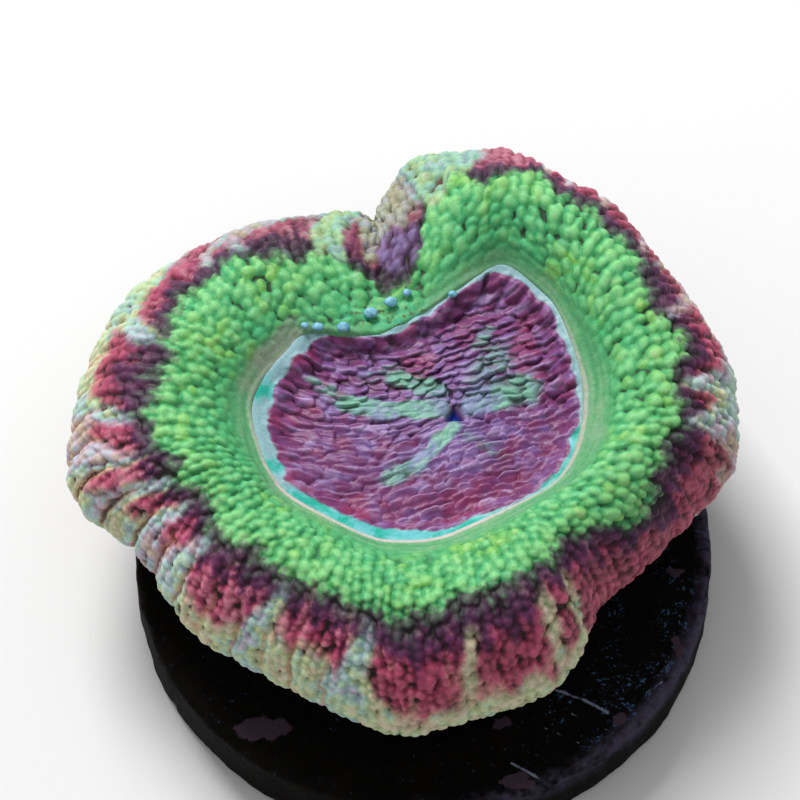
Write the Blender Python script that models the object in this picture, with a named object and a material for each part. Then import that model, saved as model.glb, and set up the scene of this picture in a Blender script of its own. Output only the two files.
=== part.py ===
"""Acan coral: one large fleshy polyp, heart-shaped seen from above, grown on a round frag disc.

Standalone Blender 4.5 script, in metres with +Z up. The origin is the centre of the disc's underside, which is
the face the coral rests on. The polyp is one closed solid: the oral disc with the mouth in it, the groove and the
lip round that, the swollen mantle, its overhanging skirt, and the stony foot that has grown on to the disc.
"""

import math

import bmesh
import bpy

MM = 0.001

# The frag disc that the coral stands on.
DISC_DIAMETER = 32.0 * MM
DISC_THICKNESS = 4.0 * MM
DISC_EDGE_ROUNDING = 0.35 * MM
DISC_ROUNDING_STEPS = 2
DISC_SIDES = 96

# The polyp's heights over the disc's top face.
FOOT_GAP = 0.3 * MM
RIM_HEIGHT = 5.2 * MM
THROAT_HEIGHT = 5.7 * MM
ORAL_DISC_HEIGHT = 6.9 * MM
LIP_HEIGHT = 7.9 * MM
CREST_HEIGHT = 10.45 * MM

# Where the mouth lies, in millimetres from the disc's centre.
MOUTH = (1.6, 3.8)

# Matching points round the polyp in millimetres from the disc's centre, clockwise from the notch at the back:
# where the lip runs round the oral disc, and where the skirt reaches furthest out.
LIP_AND_RIM = [
    ((-2.1, 9.1), (-2.8, 17.9)),
    ((0.0, 10.4), (-2.3, 19.4)),
    ((1.6, 11.7), (-0.7, 22.0)),
    ((3.0, 12.7), (1.9, 22.3)),
    ((4.6, 13.3), (5.2, 22.2)),
    ((6.4, 11.9), (8.2, 19.9)),
    ((7.5, 10.2), (11.4, 17.7)),
    ((8.6, 6.3), (16.6, 9.9)),
    ((8.7, 4.3), (17.3, 6.0)),
    ((8.4, 2.4), (17.0, 2.3)),
    ((7.8, 0.8), (15.1, -0.5)),
    ((6.7, -0.6), (12.4, -3.2)),
    ((4.9, -1.7), (9.6, -6.3)),
    ((2.8, -2.8), (7.0, -10.7)),
    ((0.8, -3.7), (3.1, -12.8)),
    ((-1.3, -3.9), (-0.8, -14.2)),
    ((-3.2, -3.5), (-4.6, -12.5)),
    ((-6.9, -1.4), (-12.3, -8.1)),
    ((-8.2, 0.2), (-15.6, -3.0)),
    ((-8.9, 1.9), (-19.2, 0.5)),
    ((-9.4, 4.2), (-19.2, 5.4)),
    ((-8.8, 6.1), (-17.9, 10.7)),
    ((-7.5, 7.7), (-14.9, 14.2)),
    ((-6.3, 9.1), (-10.6, 17.1)),
    ((-3.4, 9.0), (-4.5, 18.7)),
]
COLUMNS = 96

# The foot: how much smaller than the rim it is, and how round it is between the rim's shape and a circle.
FOOT_SHARE = 0.64
FOOT_ROUNDNESS = 0.5

# The mantle is pinched lower at the notch, over this many of the points above on each side.
NOTCH_DIP = 2.4 * MM
NOTCH_REACH = 2.2

# Cross-sections. Oral disc: share of the way from the mouth to the lip, and height over the disc's top face.
ORAL_SECTION = [
    (0.05, ORAL_DISC_HEIGHT - 0.2 * MM),
    (0.20, ORAL_DISC_HEIGHT + 0.1 * MM),
    (0.40, ORAL_DISC_HEIGHT),
    (0.60, ORAL_DISC_HEIGHT),
    (0.80, ORAL_DISC_HEIGHT + 0.1 * MM),
    (0.91, ORAL_DISC_HEIGHT),
    (0.96, ORAL_DISC_HEIGHT - 0.6 * MM),
]
# Inner mantle: share of the way from the lip to the rim, and share of the climb from the lip to the crest.
INNER_SECTION = [(0.0, 0.0), (0.07, 0.24), (0.18, 0.56), (0.31, 0.86), (0.45, 1.0)]
# Outer mantle: share of the way from the lip to the rim, and share of the drop from the crest to the rim.
OUTER_SECTION = [(0.58, 0.05), (0.70, 0.17), (0.80, 0.33), (0.89, 0.54), (0.96, 0.77), (1.0, 1.0)]
# Underside: share of the way from the rim to the foot, and share of the drop from the rim to the foot.
UNDER_SECTION = [(0.04, 0.22), (0.14, 0.38), (0.30, 0.45), (0.55, 0.47), (0.80, 0.55), (0.95, 0.78), (1.0, 1.0)]


def clear_scene():
    for obj in list(bpy.data.objects):
        bpy.data.objects.remove(obj)


def finish_with(obj, name, colour, roughness):
    material = bpy.data.materials.new(name)
    material.use_nodes = True
    shader = material.node_tree.nodes["Principled BSDF"]
    shader.inputs["Base Color"].default_value = (*colour, 1.0)
    shader.inputs["Roughness"].default_value = roughness
    shader.inputs["Metallic"].default_value = 0.0
    obj.data.materials.append(material)


def object_from(bm, name):
    mesh = bpy.data.meshes.new(name)
    bm.to_mesh(mesh)
    bm.free()
    obj = bpy.data.objects.new(name, mesh)
    bpy.context.scene.collection.objects.link(obj)
    obj.data.shade_smooth()
    return obj


def in_metres(points):
    return [(x * MM, y * MM) for x, y in points]


def between(start, end, share):
    return tuple(a + (b - a) * share for a, b in zip(start, end))


def curve_through(points, station):
    """A place on the smooth closed curve through all the points, at a station counted in points from the first."""
    first = math.floor(station)
    t = station - first
    neighbours = [points[(first + k) % len(points)] for k in (-1, 0, 1, 2)]
    place = []
    for before, start, end, after in zip(*neighbours):
        slope_in = (end - before) / 2
        slope_out = (after - start) / 2
        square = 3 * (end - start) - 2 * slope_in - slope_out
        cube = 2 * (start - end) + slope_in + slope_out
        place.append(start + slope_in * t + square * t**2 + cube * t**3)
    return tuple(place)


def notch_dip(station):
    """How much lower the crest lies at a station, because the mantle is pinched at the notch."""
    away = min(station, len(LIP_AND_RIM) - station)
    return NOTCH_DIP * math.exp(-((away / NOTCH_REACH) ** 2))


def foot_under(rim, centre, mean_reach):
    """The point of the foot's outline under a point of the rim."""
    across = rim[0] - centre[0]
    along = rim[1] - centre[1]
    reach = math.hypot(across, along)
    foot_reach = FOOT_SHARE * (reach + (mean_reach - reach) * FOOT_ROUNDNESS)
    return centre[0] + across / reach * foot_reach, centre[1] + along / reach * foot_reach


def polyp_column(mouth, lip, rim, foot, dip):
    """One meridian of the polyp's surface: from beside the mouth out over the mantle, then in under the skirt."""
    crest = CREST_HEIGHT - dip
    column = [(*between(mouth, lip, share), height) for share, height in ORAL_SECTION]
    for share, climb in INNER_SECTION:
        column.append((*between(lip, rim, share), LIP_HEIGHT + (crest - LIP_HEIGHT) * climb))
    for share, drop in OUTER_SECTION:
        column.append((*between(lip, rim, share), crest + (RIM_HEIGHT - crest) * drop))
    for share, drop in UNDER_SECTION:
        column.append((*between(rim, foot, share), RIM_HEIGHT + (FOOT_GAP - RIM_HEIGHT) * drop))
    return [(x, y, height + DISC_THICKNESS) for x, y, height in column]


def polyp_columns(mouth):
    lips = in_metres([pair[0] for pair in LIP_AND_RIM])
    rims = in_metres([pair[1] for pair in LIP_AND_RIM])
    centre = tuple(sum(values) / len(rims) for values in zip(*rims))
    mean_reach = sum(math.dist(rim, centre) for rim in rims) / len(rims)
    columns = []
    for k in range(COLUMNS):
        station = k * len(LIP_AND_RIM) / COLUMNS
        rim = curve_through(rims, station)
        foot = foot_under(rim, centre, mean_reach)
        columns.append(polyp_column(mouth, curve_through(lips, station), rim, foot, notch_dip(station)))
    return columns


def make_polyp():
    """The whole polyp as one solid: rings of points bridged from the mouth outwards, closed at throat and foot."""
    mouth = in_metres([MOUTH])[0]
    columns = polyp_columns(mouth)
    bm = bmesh.new()
    rings = []
    for level in zip(*columns):
        verts = [bm.verts.new(place) for place in level]
        rings.append([bm.edges.new((verts[k - 1], verts[k])) for k in range(COLUMNS)])
    for inner, outer in zip(rings, rings[1:]):
        bmesh.ops.bridge_loops(bm, edges=inner + outer)
    throat = bm.verts.new((*mouth, DISC_THICKNESS + THROAT_HEIGHT))
    for edge in rings[0]:
        bm.faces.new((*edge.verts, throat))
    bmesh.ops.contextual_create(bm, geom=rings[-1])
    bmesh.ops.recalc_face_normals(bm, faces=bm.faces)
    polyp = object_from(bm, "polyp")
    finish_with(polyp, "coral_flesh", (0.12, 0.42, 0.16), 0.5)


def make_frag_disc():
    """The flat round disc that the coral grows on, with its upper and lower edges slightly rounded."""
    radius = DISC_DIAMETER / 2
    bm = bmesh.new()
    bmesh.ops.create_cone(
        bm, cap_ends=True, segments=DISC_SIDES, radius1=radius, radius2=radius, depth=DISC_THICKNESS
    )
    bmesh.ops.translate(bm, verts=bm.verts, vec=(0, 0, DISC_THICKNESS / 2))
    edges = [edge for edge in bm.edges if edge.verts[0].co.z == edge.verts[1].co.z]
    bmesh.ops.bevel(
        bm, geom=edges, offset=DISC_EDGE_ROUNDING, segments=DISC_ROUNDING_STEPS, affect="EDGES", profile=0.5
    )
    disc = object_from(bm, "frag_disc")
    disc.data.set_sharp_from_angle(angle=math.radians(35))
    finish_with(disc, "dark_ceramic", (0.02, 0.018, 0.02), 0.7)


clear_scene()
make_frag_disc()
make_polyp()
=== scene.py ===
import math

import bpy
import numpy as np
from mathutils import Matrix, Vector, noise


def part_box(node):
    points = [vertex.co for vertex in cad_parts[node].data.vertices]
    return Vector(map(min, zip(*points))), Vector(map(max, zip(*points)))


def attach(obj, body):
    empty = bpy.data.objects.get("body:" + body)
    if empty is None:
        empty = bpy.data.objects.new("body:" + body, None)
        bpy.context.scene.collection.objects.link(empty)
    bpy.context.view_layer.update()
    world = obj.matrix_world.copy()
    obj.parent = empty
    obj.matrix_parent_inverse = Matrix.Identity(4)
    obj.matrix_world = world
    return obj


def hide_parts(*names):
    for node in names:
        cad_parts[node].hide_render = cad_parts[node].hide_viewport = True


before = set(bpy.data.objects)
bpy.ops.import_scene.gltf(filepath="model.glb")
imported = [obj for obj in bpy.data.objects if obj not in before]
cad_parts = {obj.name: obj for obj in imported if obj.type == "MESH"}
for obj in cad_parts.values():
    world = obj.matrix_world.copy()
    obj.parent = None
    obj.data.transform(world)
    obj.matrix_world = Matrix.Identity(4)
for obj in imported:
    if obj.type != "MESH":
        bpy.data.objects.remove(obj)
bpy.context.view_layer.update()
mm = 0.001
discLow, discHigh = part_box("frag_disc")


def linear(red, green, blue):
    # a colour as seen on a screen, 0 to 255, as the light it stands for
    parts = [value / 255 for value in (red, green, blue)]
    return tuple(p / 12.92 if p <= 0.04045 else ((p + 0.055) / 1.055) ** 2.4 for p in parts) + (1.0,)


def smoothStep(low, high, value):
    t = np.clip((value - low) / (high - low), 0, 1)
    return t * t * (3 - 2 * t)


def roundCurve(pairs, around):
    # a closed curve through (place, value) pairs, eased from one to the next
    places = np.array([pair[0] for pair in pairs])
    values = np.array([pair[1] for pair in pairs])
    places = np.concatenate([places[-1:] - 1, places, places[:1] + 1])
    values = np.concatenate([values[-1:], values, values[:1]])
    around = around % 1.0
    k = np.clip(np.searchsorted(places, around, side="right") - 1, 0, len(places) - 2)
    t = (around - places[k]) / (places[k + 1] - places[k])
    return values[k] + (values[k + 1] - values[k]) * t * t * (3 - 2 * t)


def cloud(places, size, seed):
    # soft noise between about -1 and 1, with lumps of that size
    flat = (places.reshape(-1, 3) / size + seed * 7.13).tolist()
    return np.array([noise.noise(place) for place in flat]).reshape(places.shape[:-1]) * 1.6


def clouds(places, size, seeds):
    return np.stack([cloud(places, size, seed) for seed in seeds], -1)


def smoothBetween(before, start, end, after, t):
    # from start to end as t goes from 0 to 1, sloped at each end as its neighbours ask
    slopeIn, slopeOut = (end - before) / 2, (after - start) / 2
    square = 3 * (end - start) - 2 * slopeIn - slopeOut
    cube = 2 * (start - end) + slopeIn + slopeOut
    return start + slopeIn * t + square * t**2 + cube * t**3


def patchAmount(plan, centre, radii, inner=0.5, outer=1.2):
    # 1 inside an oval patch, fading to 0 between those shares of its radii
    away = np.hypot(*np.moveaxis((plan - np.array(centre)) / np.array(radii), -1, 0))
    return 1 - smoothStep(inner, outer, away)


def deselectAll():
    bpy.ops.object.select_all(action="DESELECT")


def editOnly(piece):
    # edit mode, with that piece alone selected
    deselectAll()
    bpy.context.view_layer.objects.active = piece
    piece.select_set(True)
    bpy.ops.object.mode_set(mode="EDIT")


def namePiece(name):
    piece = bpy.context.object
    piece.name = piece.data.name = name
    return piece


def sheetOfPoints(name, across, along):
    # a flat unit grid, and where each of its points lies on it from 0 to 1
    deselectAll()
    bpy.ops.mesh.primitive_grid_add(x_subdivisions=across, y_subdivisions=along, size=1, calc_uvs=True)
    piece = namePiece(name)
    flat = np.empty(len(piece.data.vertices) * 3)
    piece.data.vertices.foreach_get("co", flat)
    places = flat.reshape(-1, 3)[:, :2] + 0.5
    return piece, np.rint(places[:, 0] * across).astype(int), np.rint(places[:, 1] * along).astype(int)


def movePoints(piece, places):
    piece.data.vertices.foreach_set("co", places.reshape(-1))
    piece.data.update()


def keepValues(piece, **values):
    # numbers that the finish reads at each point
    for name, numbers in values.items():
        layer = piece.data.attributes.new(name, "FLOAT", "POINT")
        layer.data.foreach_set("value", np.asarray(numbers, np.float32).reshape(-1))


def closeSeam(piece):
    # joins the grid's first and last columns, which lie on each other
    editOnly(piece)
    bpy.ops.mesh.select_all(action="SELECT")
    bpy.ops.mesh.remove_doubles(threshold=1e-6)
    bpy.ops.object.mode_set(mode="OBJECT")
    bpy.ops.object.shade_smooth()


def settle(piece, slot, *nodes):
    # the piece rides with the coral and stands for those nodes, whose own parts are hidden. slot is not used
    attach(piece, "root")
    if nodes:
        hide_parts(*nodes)


# the coral's own outline, clockwise from the notch at the back, in millimetres from the disc's centre: where
# the lip runs round the oral disc, and where the skirt reaches furthest out. A fitting program made these
# points, which are rounded to 0.1 mm: they weren't chosen by hand

growth = {
    "lipAndRim": [
        ((-2.1, 9.1), (-2.7, 17.6)),
        ((0.0, 10.4), (-2.3, 19.1)),
        ((1.6, 11.7), (-0.7, 21.7)),
        ((3.0, 12.7), (1.9, 22.0)),
        ((4.6, 13.3), (5.1, 21.9)),
        ((6.4, 11.9), (8.1, 19.7)),
        ((7.5, 10.2), (11.2, 17.5)),
        ((8.6, 6.3), (16.3, 9.8)),
        ((8.7, 4.3), (17.0, 6.0)),
        ((8.4, 2.4), (16.7, 2.4)),
        ((7.8, 0.8), (14.8, -0.4)),
        ((6.7, -0.6), (12.2, -3.0)),
        ((4.9, -1.7), (9.4, -6.1)),
        ((2.8, -2.8), (6.9, -10.4)),
        ((0.8, -3.7), (3.1, -12.5)),
        ((-1.3, -3.9), (-0.8, -13.9)),
        ((-3.2, -3.5), (-4.5, -12.2)),
        ((-6.9, -1.4), (-12.1, -7.9)),
        ((-8.2, 0.2), (-15.4, -2.9)),
        ((-8.9, 1.9), (-18.9, 0.6)),
        ((-9.4, 4.2), (-18.9, 5.4)),
        ((-8.8, 6.1), (-17.6, 10.6)),
        ((-7.5, 7.7), (-14.7, 14.1)),
        ((-6.3, 9.1), (-10.4, 16.9)),
        ((-3.4, 9.0), (-4.4, 18.4)),
    ],
    "oralHeight": 10.9,
    "lipHeight": 11.9,
    "crestHeight": 13.95,
    "rimHeight": 9.2,
    "underHeight": 7.0,
    "notchDip": 2.4,
    "notchReach": 2.2,
    "measuredSteps": 2000,
}
lips = np.array([pair[0] for pair in growth["lipAndRim"]])
rims = np.array([pair[1] for pair in growth["lipAndRim"]])


def curveThrough(points, station):
    # a smooth closed curve through the points, at stations counted in points from the first
    first = np.floor(station).astype(int)
    t = (station - first)[..., None]
    before, start, end, after = (points[(first + k) % len(points)] for k in (-1, 0, 1, 2))
    return smoothBetween(before, start, end, after, t)


def evenStations():
    # stations at even distances round the middle of the mantle, so that 'around' runs evenly from 0 to 1
    stations = np.linspace(0, len(lips), growth["measuredSteps"] + 1)
    middle = curveThrough(lips * 0.4 + rims * 0.6, stations)
    lengths = np.concatenate([[0], np.cumsum(np.hypot(*np.diff(middle, axis=0).T))])
    return stations, lengths / lengths[-1]


stationList, aroundList = evenStations()


def stationAt(around):
    return np.interp(around % 1.0, aroundList, stationList)


def notchDip(station):
    away = np.minimum(station, len(lips) - station)
    return growth["notchDip"] * np.exp(-((away / growth["notchReach"]) ** 2))


# the mantle and the skirt: one sheet of beads, rolled from the lip over the crest and in under the rim. The
# tables go round the coral from 0 to 1, clockwise from the notch. The colour borders and tints among them
# were typed from a program's map of the coral's colours

beads = {
    "pointsRound": 1512,
    "pointsAcross": 214,
    # bands of beads: how many stand round the coral, how far apart their rows are in millimetres, where the
    # band starts and ends as a share of the way from lip to rim, how far its beads lean out, and how high
    # they stand
    "bands": [
        {"columns": 88, "pitch": 0.58, "start": -0.05, "end": 0.20, "lean": 0.15, "up": 0.60},
        {"columns": 106, "pitch": 0.58, "start": 0.20, "end": 0.40, "lean": 0.35, "up": 0.78},
        {"columns": 124, "pitch": 0.58, "start": 0.40, "end": 0.62, "lean": 0.50, "up": 0.92},
        {"columns": 152, "pitch": 0.52, "start": 0.62, "end": 0.84, "lean": 0.50, "up": 0.95},
        {"columns": 182, "pitch": 0.45, "start": 0.84, "end": 1.40, "lean": 0.40, "up": 0.95},
    ],
    # how closely the beads crowd together: small at the front, large at the back and the right
    "crowding": [(0.0, 0.98), (0.08, 0.94), (0.25, 0.94), (0.38, 1.0), (0.46, 1.12), (0.72, 1.12),
                 (0.82, 1.02), (0.92, 0.98)],
    # each bead's half width and half length as shares of its spacing, how far it narrows outward, its height
    "wide": 0.70,
    "long": 0.76,
    "taper": 0.22,
    "height": 0.33,
    # how tall the beads stand, and how dark the painted shadow in the slits between them is, round the coral
    "tallness": [(0.0, 1.0), (0.12, 1.2), (0.35, 1.25), (0.45, 0.95), (0.75, 0.9), (0.85, 1.0),
                 (0.95, 1.0)],
    "slits": [(0.0, 0.9), (0.10, 1.0), (0.25, 1.0), (0.36, 0.8), (0.45, 0.4), (0.70, 0.35), (0.80, 0.6),
              (0.90, 1.0)],
    # the skirt is gathered into lobes, deepest at the lower left: how many round the coral, and how deep
    "lobes": 56,
    "lobeDepth": [(0.0, 0.10), (0.15, 0.14), (0.30, 0.24), (0.45, 0.16), (0.54, 0.14), (0.60, 0.34),
                  (0.70, 0.48), (0.80, 0.36), (0.86, 0.20), (0.95, 0.10)],
    "grooveFrom": (0.22, 0.34),
    "rowsInBand": 70,
    "rowsBeforeLip": 4,
    "jitter": 0.20,
    "sizeSpread": 0.20,
    "blend": 8.0,
    "settle": 1e-5,
    # how often the colour zones are evened out along their borders
    "softness": 20,
    "wander": 0.35,
    "wanderSize": 4.0,
    "warp": 0.16,
    "warpSize": 0.7,
    "swell": 0.22,
    "swellSize": 5.0,
    # how plainly the pale line along the lip shows
    "lipShow": [(0.0, 0.0), (0.14, 0.1), (0.22, 0.5), (0.32, 0.7), (0.42, 0.9), (0.48, 1.0), (0.70, 1.0),
                (0.76, 0.5), (0.82, 0.2), (0.93, 0.1)],
    # a mottled grey band outside the lip, at the upper left
    "greyLip": [(0.0, 0.0), (0.78, 0.0), (0.83, 0.6), (0.87, 1.0), (0.905, 1.0), (0.93, 0.4), (0.95, 0.0)],
    # how far the smooth band beside the lip reaches, as a share of the way to the rim
    "smoothBand": [(0.0, -0.04), (0.05, 0.04), (0.15, 0.05), (0.22, 0.08), (0.28, 0.12), (0.38, 0.18),
                   (0.44, 0.14), (0.50, 0.08), (0.62, 0.06), (0.75, 0.06), (0.80, 0.08), (0.88, 0.06),
                   (0.94, -0.04)],
    # where the green ends, where the dark purple beyond it ends and where the red beyond that ends, as
    # shares of the way from lip to rim
    "greenEnd": [(0.0, 0.25), (0.015, 0.25), (0.03, 0.30), (0.04, 0.47), (0.055, 0.54), (0.07, 0.66),
                 (0.08, 0.56), (0.09, 0.50), (0.10, 0.54), (0.125, 0.74), (0.14, 0.60), (0.145, 0.70),
                 (0.16, 0.62), (0.17, 0.67), (0.18, 0.60), (0.205, 0.72), (0.22, 0.58), (0.235, 0.55),
                 (0.27, 0.66), (0.295, 0.55), (0.30, 0.60), (0.31, 0.57), (0.32, 0.66), (0.34, 0.58),
                 (0.35, 0.66), (0.36, 0.67), (0.37, 0.77), (0.38, 0.83), (0.40, 0.83), (0.41, 0.72),
                 (0.44, 0.62), (0.47, 0.55), (0.50, 0.52), (0.53, 0.55), (0.57, 0.59), (0.62, 0.61),
                 (0.635, 0.56), (0.65, 0.53), (0.675, 0.61), (0.69, 0.54), (0.72, 0.62), (0.735, 0.51),
                 (0.75, 0.60), (0.765, 0.53), (0.775, 0.61), (0.79, 0.50), (0.815, 0.49), (0.825, 0.55),
                 (0.84, 0.52), (0.865, 0.68), (0.88, 0.60), (0.90, 0.60), (0.93, 0.52), (0.942, 0.45),
                 (0.955, 0.55), (0.965, 0.54), (0.975, 0.46), (0.99, 0.38)],
    "purpleEnd": [(0.0, 0.60), (0.02, 0.62), (0.035, 0.48), (0.055, 0.50), (0.07, 0.67), (0.09, 0.56),
                  (0.11, 0.64), (0.125, 0.76), (0.16, 0.72), (0.19, 0.76), (0.25, 0.73), (0.28, 0.78),
                  (0.295, 0.62), (0.31, 0.71), (0.34, 0.76), (0.36, 0.86), (0.38, 0.93), (0.40, 0.91),
                  (0.42, 0.78), (0.46, 0.70), (0.50, 0.74), (0.54, 0.78), (0.58, 0.74), (0.65, 0.76),
                  (0.69, 0.70), (0.71, 0.68), (0.735, 0.72), (0.76, 0.65), (0.79, 0.71), (0.82, 0.70),
                  (0.84, 0.66), (0.90, 0.66), (0.935, 0.72), (0.95, 0.74), (0.956, 0.58), (0.965, 0.56),
                  (0.975, 0.48), (0.979, 0.70), (0.984, 0.70), (0.989, 0.44), (0.995, 0.44)],
    "redEnd": [(0.0, 0.66), (0.03, 0.56), (0.042, 0.60), (0.055, 0.52), (0.088, 0.70), (0.094, 1.05),
               (0.20, 1.02), (0.24, 0.94), (0.29, 0.92), (0.31, 0.80), (0.33, 0.74), (0.336, 0.93),
               (0.36, 1.05), (0.43, 1.06), (0.455, 0.96), (0.54, 0.94), (0.57, 0.88), (0.62, 0.85),
               (0.65, 0.91), (0.70, 0.85), (0.716, 0.93), (0.74, 0.94), (0.75, 0.74), (0.765, 0.84),
               (0.79, 0.86), (0.82, 0.86), (0.84, 0.80), (0.87, 0.94), (0.885, 0.98), (0.89, 0.76),
               (0.918, 0.82), (0.93, 0.92), (0.952, 0.95), (0.957, 0.62), (0.975, 0.52), (0.979, 0.82),
               (0.984, 0.80), (0.989, 0.48), (0.995, 0.48)],
    # which pale tint shows round the coral, and how warm and light the red is
    "paleTint": [(0.0, 0.12), (0.035, 0.16), (0.05, 0.74), (0.08, 0.68), (0.095, 0.28), (0.28, 0.28),
                 (0.295, 0.58), (0.32, 0.60), (0.335, 0.28), (0.35, 0.10), (0.43, 0.08), (0.44, 0.98),
                 (0.48, 0.88), (0.52, 0.94), (0.555, 0.84), (0.57, 0.60), (0.585, 0.84), (0.61, 0.84),
                 (0.625, 0.58), (0.64, 0.84), (0.66, 0.94), (0.675, 0.60), (0.69, 0.26), (0.70, 0.50),
                 (0.715, 0.90), (0.723, 0.56), (0.74, 0.88), (0.75, 0.28), (0.765, 0.18), (0.775, 0.68),
                 (0.795, 0.95), (0.81, 0.84), (0.83, 0.64), (0.845, 0.84), (0.86, 0.30), (0.885, 0.46),
                 (0.90, 0.34), (0.95, 0.32), (0.96, 0.76), (0.975, 0.66), (0.985, 0.24)],
    "salmon": [(0.0, 0.5), (0.09, 1.0), (0.12, 0.8), (0.15, 0.2), (0.24, 0.2), (0.27, 0.4), (0.30, 0.3),
               (0.35, 0.1), (0.43, 0.15), (0.48, 0.35), (0.56, 0.35), (0.59, 0.7), (0.66, 0.8), (0.74, 0.7),
               (0.78, 0.3), (0.82, 0.4), (0.86, 0.6), (0.93, 0.7)],
    # painted shade: how much duller and darker the skirt's colours are round the coral, most of all in the
    # notch
    "dusk": [(0.0, 1.0), (0.07, 0.95), (0.11, 0.5), (0.16, 0.2), (0.30, 0.0), (0.72, 0.0), (0.80, 0.35),
             (0.86, 0.5), (0.93, 0.7), (0.97, 1.0)],
    # how far the markings slant as they run down the skirt
    "slant": [(0.0, 0.0), (0.12, 0.0), (0.20, -0.06), (0.30, -0.06), (0.40, 0.0), (0.60, 0.04),
              (0.75, 0.05), (0.82, 0.10), (0.88, 0.15), (0.95, 0.12)],
    # patches that stray from those bands, by the notch: place and radii in millimetres, and their zone
    "patches": [((-3.9, 14.4), (0.45, 1.3), 2.2), ((-0.15, 18.0), (1.0, 0.6), 2.5),
                ((-7.4, 17.0), (2.0, 0.7), 2.6)],
    "lilacPatch": ((-1.35, 14.3), (1.6, 1.9)),
    # flecks of teal and brown on the slope between the notch and the lip
    "fleckPatch": ((-1.9, 10.0), (2.9, 0.9)),
    # pale stripes down the skirt: place round the coral, half width at the top and at the bottom, top share
    "stripes": [(0.126, 0.003, 0.004, 0.72), (0.1445, 0.003, 0.004, 0.68), (0.169, 0.003, 0.004, 0.70),
                (0.2065, 0.003, 0.003, 0.72), (0.222, 0.002, 0.004, 0.70), (0.247, 0.003, 0.005, 0.58),
                (0.298, 0.005, 0.006, 0.60), (0.322, 0.004, 0.007, 0.64), (0.446, 0.002, 0.003, 0.62),
                (0.4645, 0.003, 0.004, 0.62), (0.511, 0.003, 0.004, 0.63), (0.5695, 0.003, 0.010, 0.62),
                (0.6235, 0.003, 0.009, 0.62), (0.678, 0.004, 0.008, 0.60), (0.702, 0.002, 0.006, 0.60),
                (0.7235, 0.004, 0.006, 0.60), (0.747, 0.003, 0.008, 0.62), (0.7735, 0.004, 0.006, 0.60),
                (0.829, 0.005, 0.009, 0.56), (0.8915, 0.004, 0.006, 0.62), (0.911, 0.004, 0.006, 0.60),
                (0.972, 0.004, 0.006, 0.56)],
}

section = {
    # inside the lip: share of the way from lip to rim, and how far below the lip
    "tuck": [(-0.030, 0.55), (-0.016, 0.25)],
    # across the mantle: share of the way from lip to rim, and share of the climb from lip to crest
    "inner": [(0.0, 0.0), (0.03, 0.08), (0.08, 0.25), (0.18, 0.56), (0.31, 0.86), (0.45, 1.0)],
    # then share of the drop from crest to rim
    "outer": [(0.58, 0.05), (0.70, 0.17), (0.80, 0.33), (0.89, 0.54), (0.96, 0.77), (1.0, 1.0)],
    # then share of the way in from the rim to the foot, and share of the drop from rim to underside
    "under": [(0.03, 0.42), (0.10, 0.75), (0.20, 0.92), (0.34, 1.0)],
    # how much smaller than the rim the foot is, and how round it is between the rim's shape and a circle
    "footShare": 0.64,
    "footRoundness": 0.5,
    "stepsBetween": 12,
}


def footUnder(rim):
    centre = rims.mean(axis=0)
    away = rim - centre
    reach = np.hypot(away[..., 0], away[..., 1])
    meanReach = np.hypot(*(rims - centre).T).mean()
    footReach = section["footShare"] * (reach + (meanReach - reach) * section["footRoundness"])
    return centre + away / reach[..., None] * footReach[..., None]


def mantleColumns(around):
    # for each place round the coral, the section's key points and their shares
    station = stationAt(around)
    lip, rim = curveThrough(lips, station), curveThrough(rims, station)
    under = footUnder(rim)
    crest = growth["crestHeight"] - notchDip(station)
    lipHeight, rimHeight = growth["lipHeight"], growth["rimHeight"]
    keys = []

    def key(start, end, share, height, label):
        place = start + (end - start) * share
        keys.append(np.column_stack([place, np.broadcast_to(height, around.shape),
                                     np.full(around.shape, label)]))

    for share, below in section["tuck"]:
        key(lip, rim, share, lipHeight - below, share)
    for share, climb in section["inner"]:
        key(lip, rim, share, lipHeight + (crest - lipHeight) * climb, share)
    for share, drop in section["outer"]:
        key(lip, rim, share, crest + (rimHeight - crest) * drop, share)
    for share, drop in section["under"]:
        key(rim, under, share, rimHeight + (growth["underHeight"] - rimHeight) * drop, 1 + share)
    return np.stack(keys, axis=1)


def evenlyAlong(columns, count):
    # a smooth line through each column's key points, read at even distances along it
    padded = np.concatenate([columns[:, :1] * 2 - columns[:, 1:2], columns,
                             columns[:, -1:] * 2 - columns[:, -2:-1]], axis=1)
    pieces = []
    for k in range(columns.shape[1] - 1):
        before, start, end, after = (padded[:, k + j, None] for j in range(4))
        t = np.linspace(0, 1, section["stepsBetween"], endpoint=False)[None, :, None]
        pieces.append(smoothBetween(before, start, end, after, t))
    fine = np.concatenate(pieces + [columns[:, -1:]], axis=1)
    steps = np.linalg.norm(np.diff(fine[..., :3], axis=1), axis=2)
    lengths = np.concatenate([np.zeros((len(fine), 1)), np.cumsum(steps, axis=1)], axis=1)
    result = np.empty((len(fine), count, fine.shape[2]))
    for k, line in enumerate(fine):
        wanted = np.linspace(0, lengths[k, -1], count)
        for part in range(fine.shape[2]):
            result[k, :, part] = np.interp(wanted, lengths[k], line[:, part])
    return result


def directions(base):
    # outward normals and outward-running tangents of a closed band of points (round, across, 3)
    alongRound = np.roll(base, -1, axis=0) - np.roll(base, 1, axis=0)
    across = np.gradient(base, axis=1)
    across /= np.linalg.norm(across, axis=2, keepdims=True)
    normal = np.cross(alongRound, across)
    normal /= np.linalg.norm(normal, axis=2, keepdims=True)
    return normal, across


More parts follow.
